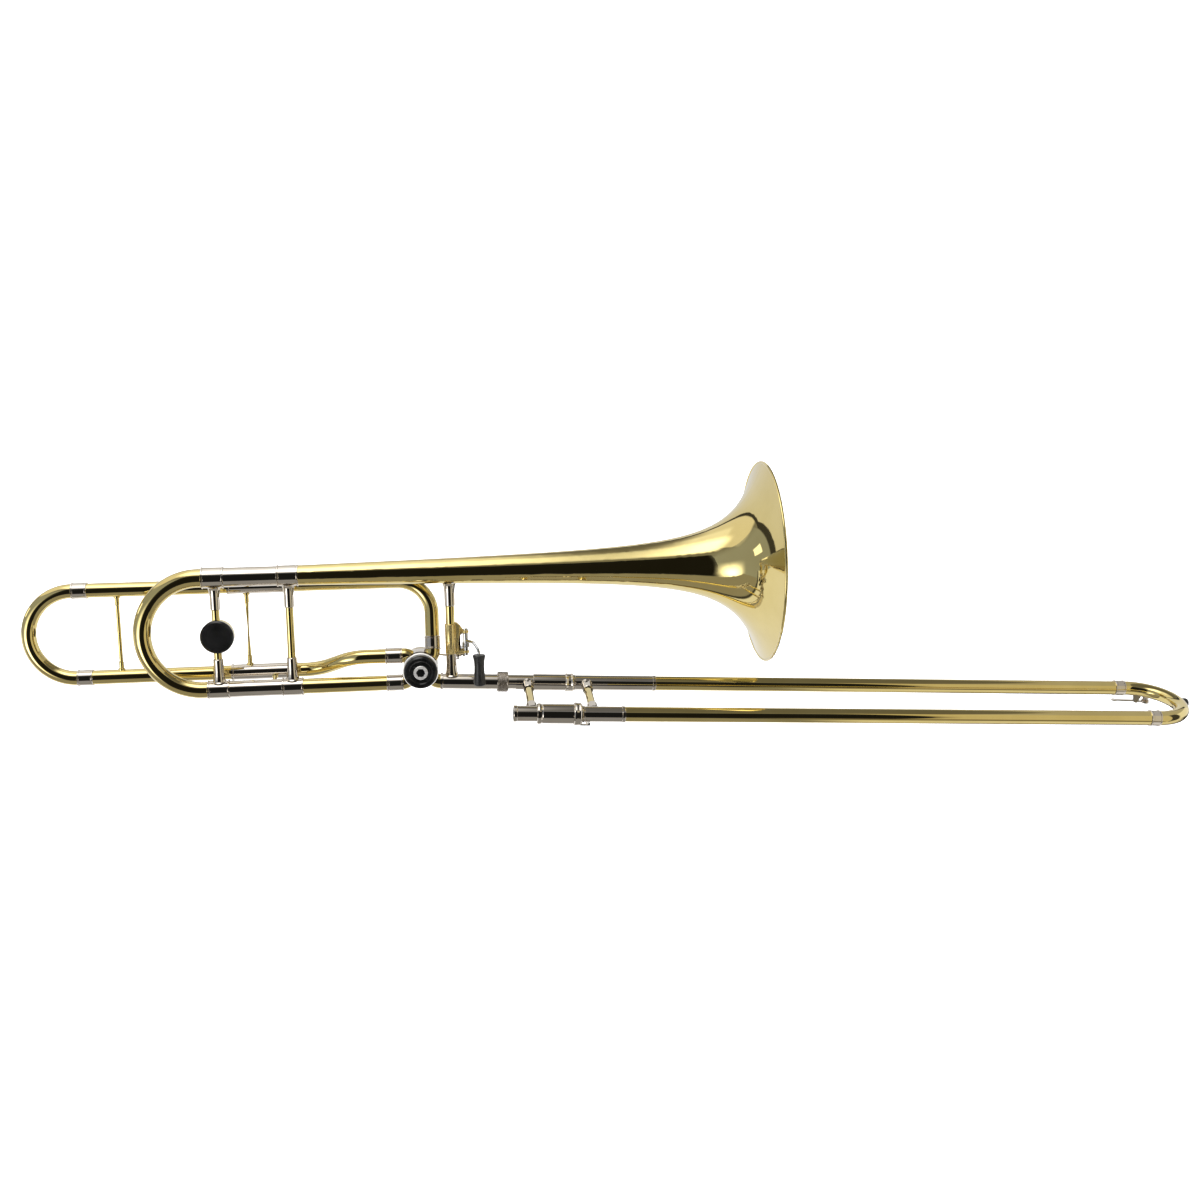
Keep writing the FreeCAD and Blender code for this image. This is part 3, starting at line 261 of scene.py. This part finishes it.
def prism(made, front_points, rear_points):
    """A closed block between two outlines with the same number of points."""
    front = [made.verts.new(point) for point in front_points]
    rear = [made.verts.new(point) for point in rear_points]
    made.faces.new(front)
    made.faces.new(list(reversed(rear)))
    for k in range(len(front)):
        following = (k + 1) % len(front)
        made.faces.new((front[k], rear[k], rear[following], front[following]))


def knurled_lock_nut(material):
    """The lock nut with its diamond knurling."""
    left, width, bore, crown = -11.7, 11.7, 8.25, 10.72
    edge, pairs, pitch, depth, sink = 1.4, 48, 1.5, 0.32, 0.1

    def knurl(distance, angle):
        if not edge < distance < width - edge:
            return 0.0
        turn = angle * pairs / (2 * math.pi)
        first = abs((turn + distance / pitch) % 1.0 - 0.5) * 2
        second = abs((turn - distance / pitch) % 1.0 - 0.5) * 2
        return depth * min(first, second) - sink

    outline = [(0.0, bore), (0.0, crown - 0.4), (0.5, crown + 0.2), (1.2, crown + 0.2), (edge, crown - 0.25)]
    rows = 46
    for row in range(1, rows):
        outline.append((edge + (width - 2 * edge) * row / rows, crown))
    lip_start, lip_radius = 10.1, 7.75
    outline += [(width - edge, crown - 0.25), (width - 1.2, crown + 0.2), (width - 0.5, crown + 0.2),
                (width, crown - 0.4), (width, lip_radius), (lip_start, lip_radius), (lip_start, bore)]
    made = bmesh.new()
    lathe(made, Vector((left * MM, 0, 0)), Vector((1, 0, 0)), outline, 288, knurl)
    finish_piece("lock_nut_knurled", made, material, "lock_nut", ["lock_nut"])


def casing_rim(material):
    """The rounded front edge of the valve casing, round the cap."""
    steps, middle, half_depth, rim_radius, half_height = 16, 0.5, 1.2, 18.0, 0.95
    outline = []
    for step in range(steps):
        angle = 2 * math.pi * step / steps
        outline.append((middle + half_depth * math.cos(angle), rim_radius + half_height * math.sin(angle)))
    made = bmesh.new()
    lathe(made, loop_point(VALVE_ALONG, VALVE_UP, -20.0), BACK * -1, outline, 96)
    finish_piece("valve_casing_rim", made, material, "bell_section")


def cap_nut_socket_painted_shade(material):
    """A black hexagon just inside the cap nut's socket: painted shade in place of the shade deep in the
    recess.
    """
    made = bmesh.new()
    centre = loop_point(VALVE_ALONG, VALVE_UP, -27.9)
    corner_radius, in_front, behind = 4.85, 0.6, 0.2
    corners = []
    for k in range(6):
        angle = math.radians(60 * k)
        corners.append(centre + (ALONG * math.cos(angle) + UP * math.sin(angle)) * corner_radius * MM)
    prism(made, [corner - BACK * in_front * MM for corner in corners],
          [corner + BACK * behind * MM for corner in corners])
    finish_piece("valve_cap_nut_socket", made, material, "bell_section")


def cast_bracket(material):
    """The thumb lever's cast bracket with its corners rounded as they come from the mould."""
    brace_u, reach, top, bottom, thick, half = -65.8, 15.8, -64.2, -89.0, 3.0, 2.6
    side = [(4.2, top + 9.0), (6.2, top + 9.0), (10.6, top + 5.4), (12.4, top), (reach + 2.2, top),
            (reach + 2.2, top - thick), (10.8, top - thick), (9.2, top - thick - 1.8),
            (9.2, bottom + thick + 1.8), (10.8, bottom + thick), (reach + 2.2, bottom + thick),
            (reach + 2.2, bottom), (7.6, bottom), (4.2, bottom - 1.4)]
    made = bmesh.new()
    prism(made, [loop_point(brace_u + along, up, -half) for along, up in side],
          [loop_point(brace_u + along, up, half) for along, up in side])
    rounding = 0.95
    bmesh.ops.bevel(made, geom=list(made.edges), offset=rounding * MM, segments=3, profile=0.6,
                    affect="EDGES", clamp_overlap=True)
    for face in made.faces:
        face.smooth = True
    for low in (top - thick, bottom):
        ear = [(0.0, 1.2), (0.0, 3.0), (0.35, 3.4), (thick - 0.35, 3.4), (thick, 3.0), (thick, 1.2)]
        lathe(made, loop_point(brace_u + reach, low), UP, ear, 40)
    saddle = [(0.0, 4.85), (0.0, 5.6), (0.6, 6.0), (31.6, 6.0), (32.2, 5.6), (32.2, 4.85)]
    lathe(made, loop_point(brace_u, bottom), UP, saddle, 48)
    finish_piece("lever_bracket_cast", made, material, "bell_section", ["lever_bracket"])


def rounded_bumper(material):
    """The rubber button on the bow, with its rounded nose."""
    lo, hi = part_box("bow_bumper")
    depth, half_width, nose, pinhole, steps = 7.0, 5.6, 2.4, 0.2, 6
    start = Vector((hi[0] - depth * MM, (lo[1] + hi[1]) / 2, (lo[2] + hi[2]) / 2))
    outline = [(0.0, pinhole), (0.0, half_width)]
    for step in range(steps + 1):
        angle = math.pi / 2 * step / steps
        outline.append((depth - nose + nose * math.sin(angle), half_width - nose + nose * math.cos(angle)))
    outline.append((depth, pinhole))
    made = bmesh.new()
    lathe(made, start, Vector((1, 0, 0)), outline, 48)
    finish_piece("bow_bumper_rounded", made, material, "hand_slide", ["bow_bumper"])


def make_pieces(materials):
    knurled_lock_nut(materials["knurled_nickel"])
    # the casing rim's pale finish is painted highlight
    casing_rim(materials["rim_painted_highlight"])
    # the black hexagon in the cap nut's socket is painted shade
    cap_nut_socket_painted_shade(materials["black_enamel"])
    cast_bracket(materials["cast_brass"])
    rounded_bumper(materials["rubber"])


# ---- studio ----
def make_floor():
    """A pale paper floor that curves up behind the instrument and behind the camera."""
    material, tree, shader = new_material("pale_paper")
    paper = noise(tree, 3.0, 4.0)
    tone = two_tone(tree, paper, (0.86, 0.86, 0.87), (0.90, 0.90, 0.90))
    tree.links.new(tone, shader.inputs["Base Color"])
    shader.inputs["Roughness"].default_value = 0.8
    shader.inputs["Emission Color"].default_value = (1.0, 1.0, 1.0, 1)
    shader.inputs["Emission Strength"].default_value = PAPER_GLOW
    steps = 16
    profile = [(FLOOR_FRONT_Y, FLOOR_Z), (SWEEP_BACK_Y - SWEEP_RADIUS, FLOOR_Z)]
    for step in range(1, steps + 1):
        angle = math.pi / 2 * step / steps
        profile.append((SWEEP_BACK_Y - SWEEP_RADIUS + SWEEP_RADIUS * math.sin(angle),
                        FLOOR_Z + SWEEP_RADIUS - SWEEP_RADIUS * math.cos(angle)))
    profile.append((SWEEP_BACK_Y, PAPER_TOP))
    sweep = sheet("floor_sweep", profile, PAPER_HALF_WIDTH, material)
    mirror_shift = SWEEP_BACK_Y + NEAR_WALL_Y
    near = [(mirror_shift - y, z) for y, z in reversed(profile[1:])] + [(FLOOR_FRONT_Y, FLOOR_Z)]
    front = sheet("floor_front", near, PAPER_HALF_WIDTH, material)
    side_x = PAPER_HALF_WIDTH - 0.1
    sides = [side_wall("paper_left", -side_x, material), side_wall("paper_right", side_x, material)]
    made = [sweep, front] + sides
    for obj in made:
        obj.visible_glossy = False
    return made


def side_wall(name, x, material):
    """Paper across one end of the studio, for views from the side."""
    corners = standing(x, PAPER_SIDE_FRONT_Y, x, SWEEP_BACK_Y, FLOOR_Z, PAPER_TOP)
    mesh = bpy.data.meshes.new(name)
    mesh.from_pydata(corners, [], [(0, 1, 2, 3)])
    mesh.materials.append(material)
    return link(bpy.data.objects.new(name, mesh))


def link(obj):
    bpy.context.scene.collection.objects.link(obj)
    return obj


def sheet(name, profile, half_width, material):
    """A sheet across X that follows a profile of (y, z) points."""
    mesh = bpy.data.meshes.new(name)
    points, faces = [], []
    for y, z in profile:
        points.append((-half_width, y, z))
        points.append((half_width, y, z))
    for index in range(len(profile) - 1):
        a = 2 * index
        faces.append((a, a + 1, a + 3, a + 2))
    mesh.from_pydata(points, [], faces)
    for polygon in mesh.polygons:
        polygon.use_smooth = True
    mesh.materials.append(material)
    return link(bpy.data.objects.new(name, mesh))


def edge_fade(tree, coordinate, feather):
    """One at the middle of a card, falling smoothly to nothing over the feather at its edges."""
    fold = add(tree, "ShaderNodeMath", operation="PINGPONG")
    fold.inputs[1].default_value = 0.5
    tree.links.new(coordinate, fold.inputs[0])
    fade = add(tree, "ShaderNodeMapRange", interpolation_type="SMOOTHSTEP")
    fade.inputs["From Min"].default_value = 0.0
    fade.inputs["From Max"].default_value = feather
    tree.links.new(fold.outputs[0], fade.inputs["Value"])
    return fade.outputs["Result"]


def card(name, corners, brightness, tint, feather):
    """A soft-edged studio card that only shows in reflections."""
    material = bpy.data.materials.new(name)
    material.use_nodes = True
    tree = material.node_tree
    tree.nodes.clear()
    across = add(tree, "ShaderNodeSeparateXYZ")
    tree.links.new(add(tree, "ShaderNodeUVMap", uv_map="card").outputs["UV"], across.inputs["Vector"])
    cover = add(tree, "ShaderNodeMath", operation="MULTIPLY")
    tree.links.new(edge_fade(tree, across.outputs["X"], feather[0]), cover.inputs[0])
    tree.links.new(edge_fade(tree, across.outputs["Y"], feather[1]), cover.inputs[1])
    glow = add(tree, "ShaderNodeEmission")
    glow.inputs["Color"].default_value = (*tint, 1)
    glow.inputs["Strength"].default_value = brightness
    mix = add(tree, "ShaderNodeMixShader")
    tree.links.new(cover.outputs[0], mix.inputs["Fac"])
    tree.links.new(add(tree, "ShaderNodeBsdfTransparent").outputs["BSDF"], mix.inputs[1])
    tree.links.new(glow.outputs["Emission"], mix.inputs[2])
    output = add(tree, "ShaderNodeOutputMaterial")
    tree.links.new(mix.outputs["Shader"], output.inputs["Surface"])
    mesh = bpy.data.meshes.new(name)
    mesh.from_pydata(corners, [], [(0, 1, 2, 3)])
    layer = mesh.uv_layers.new(name="card")
    for corner, uv in zip(layer.data, ((0, 0), (1, 0), (1, 1), (0, 1))):
        corner.uv = uv
    mesh.materials.append(material)
    obj = link(bpy.data.objects.new(name, mesh))
    obj.visible_camera = False
    obj.visible_diffuse = False
    obj.visible_shadow = False


def standing(x0, y0, x1, y1, low, high):
    """The corners of an upright rectangle above the line from (x0, y0) to (x1, y1)."""
    return [(x0, y0, low), (x1, y1, low), (x1, y1, high), (x0, y0, high)]


def lying(x0, x1, y0, y1, z):
    """The corners of a level rectangle."""
    return [(x0, y0, z), (x1, y0, z), (x1, y1, z), (x0, y1, z)]


def area_light(name, place, target, size_x, size_y, power):
    """A soft lamp that doesn't show in reflections."""
    light = bpy.data.lights.new(name, "AREA")
    light.shape = "RECTANGLE"
    light.size = size_x
    light.size_y = size_y
    light.energy = power
    obj = link(bpy.data.objects.new(name, light))
    obj.location = place
    obj.rotation_euler = (Vector(target) - Vector(place)).to_track_quat("-Z", "Y").to_euler()
    obj.visible_glossy = False


def make_world():
    world = bpy.data.worlds.new("studio_air")
    world.use_nodes = True
    background = world.node_tree.nodes["Background"]
    background.inputs["Color"].default_value = (1.0, 0.99, 0.96, 1)
    background.inputs["Strength"].default_value = ROOM_LIGHT
    bpy.context.scene.world = world


WARM, COOL, PLAIN, WOOD = (1.0, 0.96, 0.88), (0.94, 1.0, 1.08), (1.0, 0.99, 0.97), (1.0, 0.90, 0.66)

# Cards in the order: name, corners, brightness, tint, softness of the edges across and up.
CARDS = [
    ("back_frame", standing(-5.0, 2.05, 5.2, 2.05, -0.6, 1.95), 0.05, PLAIN, (0.01, 0.02)),
    ("back_paper", standing(-3.50, 2.0, 3.9, 2.0, -0.6, 1.62), 0.72, PLAIN, (0.02, 0.03)),
    ("paper_edge", lying(-3.4, 3.6, 0.03, 0.12, FLOOR_Z - 0.025), 0.05, PLAIN, (0.01, 0.30)),
    ("floor_back", lying(-3.4, 3.6, 0.08, 2.0, FLOOR_Z - 0.02), 0.85, PLAIN, (0.03, 0.02)),
    ("floor_left", lying(-1.7, 0.5, -0.74, 0.07, FLOOR_Z - 0.03), 0.30, WARM, (0.08, 0.08)),
    ("floor_right", lying(0.42, 2.80, -0.46, 0.07, FLOOR_Z - 0.03), 0.76, WARM, (0.05, 0.10)),
    ("floor_near", lying(0.45, 1.20, -0.98, -0.36, FLOOR_Z - 0.04), 0.22, WOOD, (0.12, 0.15)),
    ("floor_far", lying(0.62, 3.2, 0.12, 1.95, FLOOR_Z - 0.015), 0.08, WOOD, (0.06, 0.06)),
    ("ceiling_left", lying(-3.4, 0.15, -1.2, 1.95, 1.78), 0.85, WARM, (0.14, 0.06)),
    ("ceiling_right", lying(-0.05, 1.45, -1.9, 1.9, 1.80), 0.15, WARM, (0.08, 0.05)),
    ("ceiling_far", lying(1.25, 3.6, -1.9, 1.9, 1.82), 0.46, WARM, (0.10, 0.05)),
    ("softbox_top", lying(-1.15, 0.10, -0.45, 1.05, 1.72), 1.1, PLAIN, (0.22, 0.30)),
    ("softbox_front", lying(-1.55, 0.32, -1.80, 0.25, 1.70), 2.5, PLAIN, (0.42, 0.30)),
    ("flag_front", standing(-2.30, -2.6, 2.30, -2.6, -2.1, 2.0), 0.012, WARM, (0.22, 0.05)),
    ("window_left", standing(-1.10, -2.20, -2.25, -0.75, -1.85, 0.40), 3.6, PLAIN, (0.49, 0.49)),
    ("wall_left", standing(-1.5, -2.9, -3.4, 1.5, -1.8, 2.4), 0.36, COOL, (0.05, 0.28)),
    ("small_window", standing(-1.90, -0.10, -1.90, 0.42, 0.22, 0.52), 1.8, PLAIN, (0.10, 0.10)),
    ("wall_right", standing(1.35, -2.65, 2.5, -1.3, -2.2, 3.0), 0.62, WOOD, (0.10, 0.10)),
    ("flag_right", standing(2.45, -1.35, 2.75, -0.55, -1.0, 1.7), 0.05, PLAIN, (0.05, 0.05)),
    ("window_right", standing(2.8, -0.6, 2.9, 1.6, -0.6, 1.5), 0.90, PLAIN, (0.10, 0.10)),
]


def make_studio():
    make_world()
    for piece in make_floor():
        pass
    for name, corners, brightness, tint, feather in CARDS:
        card(name, corners, brightness, tint, feather)
    area_light("lamp_top", (-0.4, -0.9, 2.4), (0.1, 0.0, 0.0), 2.6, 1.6, 60)
    area_light("lamp_sweep", (0.0, 0.4, 3.0), (0.0, 1.2, 0.0), 4.0, 1.6, 90)


def make_camera():
    """The main view: about 1.5 m away, a little to the left and above, tipped by two degrees."""
    place, lens = (-0.0907, -1.4650, 0.3299), 41.87
    yaw, pitch, roll = math.radians(7.27), math.radians(9.20), math.radians(2.17)
    forward = Vector((math.sin(yaw) * math.cos(pitch), math.cos(yaw) * math.cos(pitch), -math.sin(pitch)))
    level_right = Vector((math.cos(yaw), -math.sin(yaw), 0))
    level_up = level_right.cross(forward)
    right = level_right * math.cos(roll) + level_up * math.sin(roll)
    up = level_up * math.cos(roll) - level_right * math.sin(roll)
    camera = bpy.data.cameras.new("main_camera")
    camera.sensor_width = 36.0
    camera.lens = lens
    camera.clip_end = 50
    obj = bpy.data.objects.new("main_camera", camera)
    turn = Matrix((right, up, -forward)).transposed().to_4x4()
    obj.matrix_world = Matrix.Translation(place) @ turn
    link(obj)
    bpy.context.scene.camera = obj


materials = make_materials()
dress_nodes(materials)
make_pieces(materials)
make_studio()
make_camera()
bpy.context.scene.view_settings.view_transform = "Standard"
